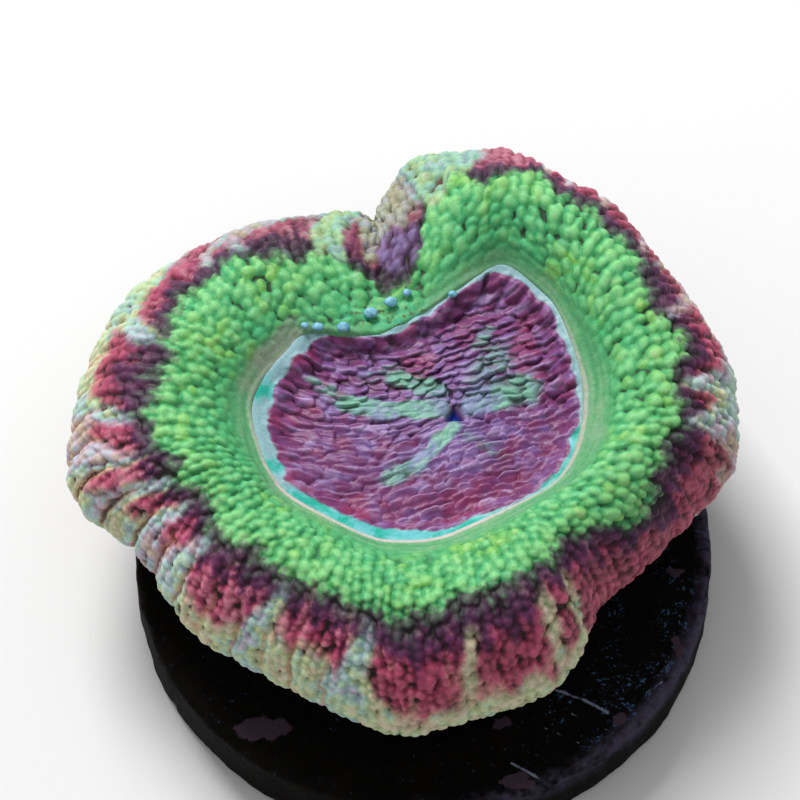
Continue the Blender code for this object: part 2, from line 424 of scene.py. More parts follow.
def lobes(around, share, wander):
    # rounded lobes down the skirt with narrow grooves between them, deepening toward the rim
    place = around * beads["lobes"] + 0.5 * wander[..., 0]
    across = (place - np.floor(place)) * 2 - 1
    reach = np.random.default_rng(15).uniform(0.6, 1.4, beads["lobes"] + 2)[np.floor(place).astype(int) + 1]
    depth = roundCurve(beads["lobeDepth"], around) * smoothStep(0.66, 0.95, share) * reach
    swollen = np.clip(1 - across**2, 0, 1) ** 0.5 - 0.7
    return depth * swollen, depth * smoothStep(0.6, 1.0, np.abs(across))


def addBand(total, band, around, arc, share, wander, seed):
    # every bead of the band near each point adds its dome, raised to a power so that the tallest wins
    columns, rows, pitch = band["columns"], beads["rowsInBand"], band["pitch"]
    first = beads["rowsBeforeLip"]
    draw = np.random.default_rng(seed)
    middle = np.interp((np.arange(columns) + 0.5) / columns, around[:, 0], np.arange(len(share)))
    nearest = np.rint(middle).astype(int) % len(share)
    middles = (np.arange(rows) + 0.5 - first + 0.5 * (np.arange(columns) % 2)[:, None]) * pitch
    beadShare = np.array([np.interp(middle, arc[k], share[k]) for middle, k in zip(middles, nearest)])
    present = (beadShare >= band["start"]) & (beadShare < band["end"])
    offset = draw.uniform(-beads["jitter"], beads["jitter"], (columns, rows, 2))
    size = 1 + draw.uniform(-beads["sizeSpread"], beads["sizeSpread"], (columns, rows))
    chance = draw.random((columns, rows))
    near = np.flatnonzero(((share > band["start"] - 0.12) & (share < band["end"] + 0.12)).any(axis=0))
    part = np.s_[:, near[0]:near[-1] + 1]
    column = around[part] * columns + wander[part][..., 0]
    row = arc[part] / pitch + wander[part][..., 1]
    for sideways in (-1, 0, 1):
        c = np.floor(column).astype(int) + sideways
        shift = 0.5 * (c % 2)
        for outward in (-2, -1, 0, 1, 2):
            r = np.floor(row - shift).astype(int) + outward
            index = (c % columns, np.clip(r + first, 0, rows - 1))
            gapRound = c + 0.5 + offset[index][..., 0] - column
            gapAlong = r + 0.5 + shift + offset[index][..., 1] - row
            beyond = gapAlong < 0  # the point lies outward of the bead's middle
            stretch = np.where(beyond, 1 - 0.2 * band["lean"], 1 + 0.4 * band["lean"])
            length = beads["long"] * size[index] * stretch
            width = beads["wide"] * size[index] * (1 - beads["taper"] * np.clip(-gapAlong / length, 0, 1))
            away = (gapRound / width) ** 2 + (gapAlong / length) ** 2
            dome = size[index] * band["up"] * np.clip(1 - away, 0, 1) ** 0.85 * present[index]
            weight = dome ** beads["blend"]
            total["weight"][part] += weight
            total["tone"][part] += weight * chance[index]
            total["gapRound"][part] += weight * gapRound / columns
            total["share"][part] += weight * beadShare[index]
            total["lean"][part] += weight * band["lean"]
            total["under"][part] += weight * np.clip(-gapAlong / length, 0, 1)


def soften(height):
    # evens out the sharpest creases between neighbouring points
    height = (np.roll(height, 1, axis=0) + 2 * height + np.roll(height, -1, axis=0)) / 4
    padded = np.pad(height, ((0, 0), (1, 1)), mode="edge")
    return (padded[:, :-2] + 2 * padded[:, 1:-1] + padded[:, 2:]) / 4


def stripeAmount(around, share):
    pale = np.zeros(around.shape)
    for place, top, bottom, start in beads["stripes"]:
        width = top + (bottom - top) * smoothStep(start, 1.0, share)
        away = np.abs((around - place + 0.5) % 1.0 - 0.5)
        amount = (1 - smoothStep(0.3, 1.7, away / width)) * smoothStep(start - 0.05, start + 0.12, share)
        pale = np.maximum(pale, amount)
    return pale


def skirtZone(around, share):
    # 0 at the lip, 1 where the green ends, 2 where the purple ends, 3 where the red ends
    green = roundCurve(beads["greenEnd"], around)
    purple = np.maximum(roundCurve(beads["purpleEnd"], around), green + 0.03)
    red = np.maximum(roundCurve(beads["redEnd"], around), purple + 0.03)
    zone = np.where(share < green, share / green, 1 + (share - green) / (purple - green))
    zone = np.where(share > purple, 2 + (share - purple) / (red - purple), zone)
    zone = np.where(share > red, 3 + (share - red) / 0.2, zone)
    paleStart = red - 0.04 - 0.12 * (1 - smoothStep(0.06, 0.14, red - green))
    return np.minimum(zone, 5), smoothStep(paleStart, paleStart + 0.10, share)


def patchedZone(zone, plan):
    for centre, radii, value in beads["patches"]:
        zone = zone + (value - zone) * patchAmount(plan, centre, radii, 0.6, 1.3)
    return zone


def buildFlesh():
    wide = beads["pointsRound"]
    ring = np.arange(wide) / wide
    band = evenlyAlong(mantleColumns(ring), beads["pointsAcross"] + 1)
    base, share = band[..., :3], band[..., 3]
    arc = np.cumsum(np.linalg.norm(np.diff(base, axis=1, prepend=base[:, :1]), axis=2), axis=1)
    around = np.broadcast_to(ring[:, None], share.shape)
    normal, outward = directions(base)
    wander = beads["wander"] * clouds(base, beads["wanderSize"], (1, 2))
    wander += beads["warp"] * clouds(base, beads["warpSize"], (31, 32))
    names = ("weight", "tone", "gapRound", "share", "lean", "under")
    total = {name: np.zeros(share.shape) for name in names}
    crowding = roundCurve(beads["crowding"], ring)
    crowding /= crowding.mean()
    crowded = np.broadcast_to((np.cumsum(crowding) / crowding.sum() - 1 / wide)[:, None], share.shape)
    for seed, row in enumerate(beads["bands"], start=11):
        addBand(total, row, crowded, arc * crowding[:, None], share, wander, seed)
    height = soften(total["weight"] ** (1 / beads["blend"]))
    settled = total["weight"] + beads["settle"]
    tone = (total["tone"] + 0.5 * beads["settle"]) / settled
    lean = total["lean"] / settled
    beadShare = (total["share"] + beads["settle"] * share) / settled

    smooth = roundCurve(beads["smoothBand"], around)
    rise = smoothStep(smooth - 0.02, smooth + 0.11, share)
    fade = 1 - 0.20 * smoothStep(0.85, 1.0, share) - 0.4 * smoothStep(1.05, 1.25, share)
    taller = 1 + (roundCurve(beads["tallness"], around) - 1) * smoothStep(0.3, 0.8, share)
    lift = beads["height"] * height * (0.08 + 0.92 * rise) * fade * taller
    lobe, groove = lobes(around, share, wander)
    lobeDepth = roundCurve(beads["lobeDepth"], around)
    groove = groove * smoothStep(*beads["grooveFrom"], lobeDepth)
    lift = lift * (1 - 0.25 * smoothStep(0.8, 1.0, share) * smoothStep(0.3, 0.6, lobeDepth))
    swell = beads["swell"] * cloud(base, beads["swellSize"], 3) * smoothStep(0.1, 0.4, share) + lobe
    relief = base + normal * (lift + swell)[..., None]
    relief += outward * (lift * lean * 0.7)[..., None]
    beadRound = around + 0.25 * total["gapRound"] / settled + 0.0022 * cloud(base, 0.45, 51)
    marked = (beadRound - roundCurve(beads["slant"], around) * np.clip(share - 0.7, 0, 0.35)) % 1.0
    angle = 2 * math.pi * around
    spokes = np.stack([np.cos(angle) * 30, np.sin(angle) * 30, arc / 2.6], -1)
    ragged = 0.02 * cloud(base, 0.9, 5) + 0.02 * cloud(base, 0.4, 52) + 0.05 * cloud(spokes, 1.0, 53)
    zone, pale = skirtZone(marked, 0.25 * beadShare + 0.75 * share + ragged)
    zone = patchedZone(zone, base[..., :2])
    pale = np.maximum(pale, stripeAmount(marked, share))
    for smoothing in range(beads["softness"]):
        zone, pale = soften(zone), soften(pale)
    tint = roundCurve(beads["paleTint"], marked) + 0.20 * cloud(base, 1.0, 6) + 0.26 * (tone - 0.5)
    station = stationAt(around)
    fromLip = share * np.linalg.norm(curveThrough(rims, station) - curveThrough(lips, station), axis=-1)
    turned = np.stack([np.cos(angle) * 2.2, np.sin(angle) * 2.2, fromLip / 0.26], -1)
    streak = cloud(turned, 1.0, 17)
    relief += normal * (0.018 * streak * (1 - rise))[..., None]
    plain = {name: roundCurve(beads[name], around) for name in ("lipShow", "slits", "dusk")}
    return {**plain, "places": relief * mm, "tip": height * rise + 0.6 * (1 - rise), "groove": groove,
            "tone": tone, "zone": zone, "tint": np.clip(tint, 0, 1), "pale": pale, "share": share,
            "salmon": roundCurve(beads["salmon"], marked), "smooth": 1 - rise, "fromLip": fromLip,
            "under": total["under"] / settled, "streak": streak, "spokes": cloud(spokes, 1.0, 54),
            "greyLip": roundCurve(beads["greyLip"], around) * (1 - smoothStep(0.7, 1.5, fromLip)),
            "lilac": patchAmount(base[..., :2], *beads["lilacPatch"]),
            "flecks": patchAmount(base[..., :2], *beads["fleckPatch"])}


def makeFlesh():
    values = buildFlesh()
    wide, tall = beads["pointsRound"], beads["pointsAcross"]
    piece, k, j = sheetOfPoints("mantle_right", wide, tall)
    k = k % wide
    movePoints(piece, values["places"][k, j])
    keepValues(piece, **{name: values[name][k, j] for name in values if name != "places"})
    closeSeam(piece)
    return piece


print("coral: rolling the mantle and skirt")
flesh = makeFlesh()
print("coral: flesh has", len(flesh.data.polygons), "faces")


# the sheet is cut into four pieces, with its shading kept whole across the cuts


def cutOff(piece, axis, name):
    # the half of the sheet beyond the middle of that axis of its unrolled map becomes a piece of its own
    layer = piece.data.uv_layers[0].uv
    places = np.empty(len(layer) * 2)
    layer.foreach_get("vector", places)
    beyond = places.reshape(-1, 4, 2)[:, :, axis].mean(axis=1) > 0.5
    editOnly(piece)
    bpy.ops.mesh.select_all(action="DESELECT")
    bpy.ops.mesh.select_mode(type="FACE")
    bpy.ops.object.mode_set(mode="OBJECT")
    piece.data.polygons.foreach_set("select", beyond)
    bpy.ops.object.mode_set(mode="EDIT")
    bpy.ops.mesh.separate(type="SELECTED")
    bpy.ops.object.mode_set(mode="OBJECT")
    half = [other for other in bpy.context.selected_objects if other is not piece][0]
    half.name = half.data.name = name
    return half


flesh.data.normals_split_custom_set_from_vertices([v.normal for v in flesh.data.vertices])
skirtRight = cutOff(flesh, 1, "skirt_right")
mantleLeft = cutOff(flesh, 0, "mantle_left")
skirtLeft = cutOff(skirtRight, 0, "skirt_left")
fleshPieces = [flesh, mantleLeft, skirtRight, skirtLeft]


# the oral disc: overlapping scales that face the mouth, and three smooth tongues that close it

oral = {
    "mouth": (1.62, 4.25),
    "scalePitch": (0.78, 0.47),  # along a row, and from row to row, beside the mouth
    "growOutward": 0.0022,
    "growMeasured": (14, 500),  # how far out that is worked out, in millimetres, and in how many steps
    "bowMiddle": -4.6,
    "bow": 0.30,
    "jitter": 0.22,
    "sizeSpread": 0.24,
    "wander": 0.40,
    "height": 0.42,
    "lean": 0.50,
    "blend": 8,
    "settle": 1e-6,
    "halfField": 32,
    "edgeRise": 0.94,
    "pointsRound": 504,
    "pointsOut": 130,
    # how wide the smooth band between the scales and the lip is, as a share of the way from mouth to lip
    "edgeBand": [(0.0, 0.03), (0.2, 0.03), (0.27, 0.035), (0.35, 0.04), (0.42, 0.02), (0.46, 0.03),
                 (0.5, 0.06), (0.55, 0.09), (0.62, 0.08), (0.7, 0.05), (0.75, 0.06), (0.83, 0.07),
                 (0.88, 0.05), (0.92, 0.07), (0.95, 0.03)],
    # how teal that band is, and how far the pale edge runs in over the outermost scales
    "teal": [(0.0, 0.2), (0.1, 0.2), (0.2, 0.15), (0.29, 0.2), (0.33, 0.9), (0.37, 0.8), (0.42, 0.3),
             (0.5, 0.95), (0.57, 1.2), (0.66, 0.9), (0.70, 0.3), (0.725, 0.9), (0.75, 0.1), (0.80, 0.2),
             (0.825, 0.9), (0.85, 0.5), (0.87, 0.1)],
    "paleEdge": [(0.0, 0.11), (0.1, 0.09), (0.2, 0.06), (0.28, 0.045), (0.42, 0.04), (0.5, 0.03),
                 (0.7, 0.05), (0.78, 0.08), (0.86, 0.09), (0.93, 0.13)],
    # smooth pale tongues beside the mouth: from, to, half width at each end
    "tongues": [((0.75, 4.70), (-2.6, 4.50), 0.60, 0.56), ((1.60, 3.45), (-0.3, 1.35), 0.48, 0.42),
                ((2.45, 4.75), (4.3, 5.20), 0.52, 0.56)],
    # paler scales running on from them: from, to, half width at each end, how strong
    "mintStrokes": [((-2.8, 4.6), (-4.4, 4.9), 0.70, 0.55, 0.9),
                    ((-4.2, 4.9), (-6.2, 6.3), 0.50, 0.45, 0.5),
                    ((-0.4, 1.3), (-1.7, 0.3), 0.60, 0.70, 0.8), ((2.8, 5.6), (4.0, 8.0), 0.9, 1.2, 0.55),
                    ((3.0, 5.3), (5.6, 6.0), 1.00, 1.10, 0.75), ((0.7, 5.8), (-1.6, 6.6), 0.70, 0.55, 0.8),
                    ((2.4, 3.0), (4.2, 1.7), 0.40, 0.45, 0.45), ((3.0, 8.8), (3.6, 9.8), 0.60, 0.50, 0.5),
                    ((-1.6, 7.2), (-3.4, 6.6), 0.50, 0.40, 0.4)],
}


def strokeDistance(places, start, end, startWidth, endWidth):
    # how far each place is from a tapering stroke's middle line, in half widths of the stroke
    start, end = np.array(start), np.array(end)
    line = end - start
    t = np.clip((places - start) @ line / (line @ line), 0, 1)
    away = np.linalg.norm(places - start - t[..., None] * line, axis=-1)
    return away / (startWidth + (endWidth - startWidth) * t)


def aloft(plan):
    # places in plan as places in space
    return np.concatenate([plan, np.zeros(plan.shape[:-1] + (1,))], axis=-1)


def scalePlane(plan):
    # places in plan as columns and rows of scales, counted from the mouth: rows sag toward the left, and the
    # scales grow toward the lip
    away = plan - np.array(oral["mouth"])
    reach = np.linalg.norm(away, axis=-1)
    near = np.linspace(0, *oral["growMeasured"])
    shrunk = np.interp(reach, near * (1 + oral["growOutward"] * near**2), near)
    flat = away * (shrunk / np.maximum(reach, 1e-6))[..., None]
    sag = np.hypot(flat[..., 0] - oral["bowMiddle"], 1.5) - np.hypot(oral["bowMiddle"], 1.5)
    flat[..., 1] -= oral["bow"] * sag
    flat = flat / np.array(oral["scalePitch"])
    flat += oral["wander"] * clouds(aloft(plan), 2.2, (21, 22))
    return flat + 0.17 * clouds(aloft(plan), 0.55, (23, 24))


def scalesNear(plan):
    # the tallest scale at each place: a step up at its free edge, toward the mouth, then a long slope down
    draw = np.random.default_rng(6)
    half = oral["halfField"]
    field = (2 * half, 2 * half)
    offset = draw.uniform(-oral["jitter"], oral["jitter"], field + (2,))
    size = 1 + draw.uniform(-oral["sizeSpread"], oral["sizeSpread"], field)
    chance = draw.random(field)
    flat = scalePlane(plan)
    total = {name: np.zeros(plan.shape[:-1]) for name in ("weight", "tone", "ridge", "gapX", "gapY")}
    for up in (-2, -1, 0, 1, 2):
        row = np.floor(flat[..., 1]).astype(int) + up
        shift = 0.5 * (row % 2)
        for sideways in (-2, -1, 0, 1, 2):
            column = np.floor(flat[..., 0] - shift).astype(int) + sideways
            index = (np.clip(column + half, 0, 2 * half - 1), np.clip(row + half, 0, 2 * half - 1))
            centre = np.stack([column + 0.5 + shift, row + 0.5], -1) + offset[index]
            inward = -centre * np.array((0.4, 1.0))
            inward /= np.maximum(np.linalg.norm(inward, axis=-1, keepdims=True), 0.3)
            gap = flat - centre
            toward = (gap * inward).sum(-1)
            side = (gap[..., 0] * inward[..., 1] - gap[..., 1] * inward[..., 0]) / (0.60 * size[index])
            behind = 0.56 * size[index] - 0.32 * side**2 - toward  # how far behind the free edge
            slope = np.clip(1 - behind / 1.55, 0, 1)
            edge = np.clip(behind / 0.42, 0, 1)
            dome = size[index] * slope * (edge * (2 - edge)) ** 0.5 * np.clip(1 - side**2, 0, 1) ** 0.5
            weight = dome ** oral["blend"]
            total["weight"] += weight
            total["tone"] += weight * chance[index]
            total["ridge"] += weight * (1 - smoothStep(0.12, 0.42, behind))
            total["gapX"] += weight * gap[..., 0]
            total["gapY"] += weight * gap[..., 1]
    settled = total["weight"] + oral["settle"]
    shift = np.stack([total["gapX"], total["gapY"]], -1) / settled[..., None] * np.array(oral["scalePitch"])
    streak = cloud(aloft(flat * np.array((0.6, 2.3))), 1.0, 25)
    tone, ridge = total["tone"] / settled, total["ridge"] / settled
    return total["weight"] ** (1 / oral["blend"]), tone, ridge, plan - shift, streak


def makeOralDisc():
    wide, tall = oral["pointsRound"], oral["pointsOut"]
    piece, k, j = sheetOfPoints("oral_disc", wide, tall)
    middle = np.array(oral["mouth"])
    around = (np.arange(wide) / wide)[:, None] + np.zeros((1, tall + 1))
    share = (1.004 * np.linspace(0, 1, tall + 1) ** 0.9)[None, :] + np.zeros((wide, 1))
    lip = curveThrough(lips, stationAt(around))
    plan = middle + (lip - middle) * share[..., None]
    reach = np.linalg.norm(plan - middle, axis=-1)
    dome, tone, ridge, scalePlace, streak = scalesNear(plan)
    wave = cloud(aloft(plan), 1.0, 8)
    end = 1 - roundCurve(oral["edgeBand"], around) + 0.025 * wave
    fade = 1 - smoothStep(end - 0.05, end + 0.02, share)

    tongue = np.zeros(share.shape)
    for stroke in oral["tongues"]:
        inside = strokeDistance(plan, *stroke) + 0.25 * cloud(aloft(plan), 0.8, 26)
        tongue = np.maximum(tongue, 1 - smoothStep(0.45, 1.45, inside))
    mint = tongue.copy()
    for stroke in oral["mintStrokes"]:
        inside = strokeDistance(0.35 * scalePlace + 0.65 * plan, *stroke[:4])
        mint = np.maximum(mint, stroke[4] * (1 - smoothStep(0.30, 1.60, inside)))
    # the mouth is a small three-cornered pit between the tongues, point up
    corners = np.stack([(plan - middle) @ np.array(side) for side in ((0, -1), (0.87, 0.5), (-0.87, 0.5))])
    pit = 1 - smoothStep(0.12, 0.36, corners.max(axis=0))
    tongue = tongue * (1 - pit)

    height = growth["oralHeight"] + 0.14 * cloud(aloft(plan), 3.0, 4) + 0.16 * tongue
    height = height + oral["edgeRise"] * smoothStep(0.80, 1.0, share) - 0.5 * pit
    scaly = fade * (1 - 0.75 * tongue) * smoothStep(0.3, 1.0, reach)
    upper = smoothStep(-0.8, 1.5, plan[..., 1] - middle[1])
    lift = oral["height"] * (dome * (0.65 + 0.35 * upper) + 0.16 * streak) * scaly
    inward = (middle - plan) / np.maximum(reach, 0.01)[..., None]
    paleEdge = smoothStep(0.3, 1.1, (share - 1) / roundCurve(oral["paleEdge"], around) + 1 + 0.3 * wave)
    plan = plan + inward * (lift * oral["lean"])[..., None]
    places = np.concatenate([plan, (height + lift)[..., None]], -1) * mm
    k = k % wide
    movePoints(piece, places[k, j])
    values = {"tip": dome * scaly + 0.75 * np.maximum(0.7 * tongue, 1 - fade), "tone": tone,
              "streak": streak, "mint": mint, "ridge": ridge * scaly, "band": 1 - fade, "paleEdge": paleEdge,
              "upper": upper,
              "throat": smoothStep(0.3, 0.8, pit), "edge": share, "teal": roundCurve(oral["teal"], around)}
    keepValues(piece, **{name: values[name][k, j] for name in values})
    closeSeam(piece)
    return piece


print("coral: oral disc")
oralDisc = makeOralDisc()


# the underside: the corallite's ribbed wall, from under the skirt down to the disc

wall = {
    "ribs": 84,
    "pointsRound": 840,
    "pointsDown": 36,
    "ribHeight": 0.15,
    "uneven": 2.6,
    "foot": 3.95,
    # share of the way from rim to foot, and height over the skirt's underside, then over the wall's own foot
    "upperProfile": [(0.26, 0.15), (0.40, 0.0), (0.62, -0.15), (0.82, -0.5), (0.94, -1.2)],
    "lowerProfile": [(0.99, 0.9), (1.03, 0.3), (1.08, 0.0)],
    "ribBrown": (linear(62, 40, 34), linear(124, 96, 78)),
    "patchRose": linear(92, 58, 70),
    "footDark": linear(46, 34, 42),
    "skirtBrown": linear(118, 66, 62),
}


def makeUnderside():
    wide, tall = wall["pointsRound"], wall["pointsDown"]
    piece, k, j = sheetOfPoints("underside", wide, tall)
    around = np.arange(wide) / wide
    station = stationAt(around)
    rim = curveThrough(rims, station)
    base = footUnder(rim)
    profile = [(share, growth["underHeight"] + above) for share, above in wall["upperProfile"]]
    profile += [(share, wall["foot"] + above) for share, above in wall["lowerProfile"]]
    keys = [np.column_stack([rim + (base - rim) * share, np.full(wide, height)])
            for share, height in profile]
    band = evenlyAlong(np.stack(keys, axis=1), tall + 1)
    normal = directions(band)[0]
    down = np.linspace(0, 1, tall + 1)[None, :]
    sway = wall["uneven"] * cloud(band, 3.0, 8)
    ribs = np.cos(2 * math.pi * wall["ribs"] * around[:, None] + sway) * (1 + 0.6 * cloud(band, 1.2, 10))
    ribs *= wall["ribHeight"] * smoothStep(0.3, 0.6, down)
    rough = cloud(band, 0.7, 9) * 0.12 + cloud(band, 0.35, 12) * 0.05
    places = (band + normal * (ribs + rough)[..., None]) * mm
    k = k % wide
    movePoints(piece, places[k, j])
    keepValues(piece, down=(down + np.zeros((wide, 1)))[k, j],
               tip=np.clip(0.5 + 0.5 * ribs / wall["ribHeight"], 0, 1)[k, j])
    closeSeam(piece)
    return piece


print("coral: the wall under the skirt")
underside = makeUnderside()


class Signal:
    # one output of a shader node, or a whole node tree when it has no output yet

    def __init__(self, tree, socket=None):
        self.tree = tree
        self.socket = socket

    def node(self, kind, settings=None, inputs=None, output=0):
        made = self.tree.nodes.new(kind)
        for key, value in (settings or {}).items():
            if key == "stops":
                ramp = made.color_ramp
                while len(ramp.elements) < len(value):
                    ramp.elements.new(0.5)
                for element, (place, colour) in zip(ramp.elements, value):
                    element.position = place
                    element.color = colour
            else:
                setattr(made, key, value)
        for key, value in (inputs or {}).items():
            if isinstance(value, Signal):
                self.tree.links.new(value.socket, made.inputs[key])
            else:
                made.inputs[key].default_value = value
        return Signal(self.tree, made.outputs[output] if made.outputs else None)

    def maths(self, operation, *values):
        return self.node("ShaderNodeMath", {"operation": operation}, dict(enumerate(values)))

    def __add__(self, other):
        return self.maths("ADD", self, other)

    def __sub__(self, other):
        return self.maths("SUBTRACT", self, other)

    def __rsub__(self, other):
        return self.maths("SUBTRACT", other, self)

    def __mul__(self, other):
        return self.maths("MULTIPLY", self, other)

    def __truediv__(self, other):
        return self.maths("DIVIDE", self, other)

    __radd__ = __add__
    __rmul__ = __mul__

    def ease(self, low, high):
        # 0 below low, 1 above high, eased between
        return self.node("ShaderNodeMapRange", {"interpolation_type": "SMOOTHSTEP"},
                         {"Value": self, "From Min": low, "From Max": high})

    def mix(self, first, second, mode="MIX"):
        # the first colour where this is 0, the second where it is 1
        return self.node("ShaderNodeMix", {"data_type": "RGBA", "blend_type": mode},
                         {0: self, 6: first, 7: second}, output=2)

    def shade(self, colour, factor):
        # a colour times another
        return self.node("ShaderNodeMix", {"data_type": "RGBA", "blend_type": "MULTIPLY"},
                         {0: 1.0, 6: colour, 7: factor}, output=2)

    def vector(self, operation, *values, output=0, scale=None):
        inputs = dict(enumerate(values))
        if scale is not None:
            inputs["Scale"] = scale
        return self.node("ShaderNodeVectorMath", {"operation": operation}, inputs, output)

    def value(self, name):
        return self.node("ShaderNodeAttribute", {"attribute_name": name}, output=2)

    def lumps(self, size, detail=2.0, roughness=0.5):
        # noise whose lumps are about that many millimetres across
        place = self.node("ShaderNodeTexCoord", output=3)
        inputs = {"Vector": place, "Scale": 1 / (size * mm), "Detail": detail, "Roughness": roughness}
        return self.node("ShaderNodeTexNoise", {}, inputs)

    def ramp(self, stops):
        return self.node("ShaderNodeValToRGB", {"stops": stops}, {"Fac": self})


def newFinish(name):
    material = bpy.data.materials.new(name)
    material.use_nodes = True
    material.node_tree.nodes.clear()
    return material, Signal(material.node_tree)


def finishSurface(start, colour, roughness, bump, constants):
    links = {"Base Color": colour, "Roughness": roughness, "Normal": bump}
    links.update(constants)
    shader = start.node("ShaderNodeBsdfPrincipled", {}, links)
    start.node("ShaderNodeOutputMaterial", {"target": "ALL"}, {"Surface": shader})


def grain(start, height, distance, strength=1.0):
    inputs = {"Height": height, "Distance": distance * mm, "Strength": strength}
    return start.node("ShaderNodeBump", {}, inputs)


fleshLook = {
    # colours down the mantle, from the lip to the rim: deep in a crevice as painted shade, on a bead's side,
    # and on its top as a painted highlight
    "crevice": [(0.0, linear(66, 152, 100)), (0.175, linear(50, 122, 74)), (0.21, linear(34, 34, 34)),
                (0.40, linear(30, 8, 24)), (0.56, linear(46, 10, 22)), (1.0, linear(62, 22, 26))],
    "body": [(0.0, linear(74, 168, 106)), (0.175, linear(68, 160, 90)), (0.205, linear(52, 64, 54)),
             (0.26, linear(46, 18, 42)), (0.38, linear(66, 14, 52)), (0.44, linear(122, 28, 64)),
             (0.56, linear(146, 42, 74)), (0.70, linear(152, 70, 84)), (1.0, linear(142, 76, 84))],
    "top": [(0.0, linear(130, 206, 142)), (0.175, linear(134, 208, 130)), (0.205, linear(88, 108, 90)),
            (0.26, linear(70, 38, 70)), (0.38, linear(104, 38, 88)), (0.44, linear(176, 66, 108)),
            (0.56, linear(206, 96, 124)), (0.70, linear(208, 122, 130)), (1.0, linear(200, 122, 120))],
    # colours laid over those, each with its strength; their crevice colours are painted shade and their top
    # colours painted highlights
    "yellow": {"body": (0.8, linear(126, 190, 82)), "top": (0.5, linear(168, 208, 112))},
    "bluish": {"body": (0.7, linear(62, 176, 118))},
    "salmon": {"body": (1.0, linear(144, 54, 82)), "top": (1.0, linear(212, 126, 150))},
    "dusky": {"body": (0.8, linear(92, 34, 46)), "top": (0.8, linear(164, 92, 98))},
    "rimBrown": {"body": (0.6, linear(138, 84, 58))},
    "lilac": {"crevice": (0.8, linear(48, 30, 56)), "body": (0.85, linear(88, 56, 98)),
              "top": (0.85, linear(130, 112, 162))},
    "paleTints": [(0.0, linear(194, 168, 144)), (0.12, linear(198, 190, 170)),
                  (0.26, linear(204, 176, 186)), (0.40, linear(192, 192, 216)),
                  (0.55, linear(166, 214, 216)), (0.70, linear(176, 224, 194)),
                  (0.84, linear(196, 220, 158)), (0.92, linear(208, 218, 178)),
                  (1.0, linear(218, 208, 172))],
    # painted shade for the pale beads' crevices and sides, and a painted highlight for their tops
    "creamCrevice": linear(88, 54, 36),
    # painted shadow in the slits between beads
    "slitShadow": linear(34, 34, 20),
    # painted shade down in the lobes' grooves, and a painted highlight along their edges
    "groove": linear(64, 32, 24),
    "grooveEdgeHighlight": linear(214, 142, 108),
    "fleckTeal": linear(60, 178, 140),
    "fleckBrown": linear(72, 56, 40),
    "smoothGreen": linear(108, 172, 118),
    "smoothDeep": linear(78, 148, 102),
    "smoothGrey": linear(136, 164, 140),
    "greyBand": linear(150, 142, 136),
    "lipLine": linear(204, 190, 186),
    "speckle": (0.80, 0.80, 0.80, 1.0),
    "inShade": (0.76, 0.74, 0.71, 1.0),
    # the tint of the painted shade at the back and in the notch
    "backShadeTint": (0.58, 0.77, 0.66, 1.0),
    "creamHighlight": linear(232, 230, 214),
    "surface": {"Subsurface Weight": 0.12, "Subsurface Radius": (1.0, 0.7, 0.5), "Subsurface Scale": 0.0006,
                "Specular IOR Level": 0.32},
}


def layOver(coat, amount, layer):
    # lays a layer's colours over those of the crevices (painted shade), the beads' sides or their tops
    # (painted highlight)
    for part, (strength, colour) in layer.items():
        coat[part] = (amount * strength).mix(coat[part], colour)


def speckled(s, colour):
    # fine dark dots over the flesh
    return s.lumps(0.14, 2.0).ease(0.25, 0.75).mix(colour, s.shade(colour, fleshLook["speckle"]))


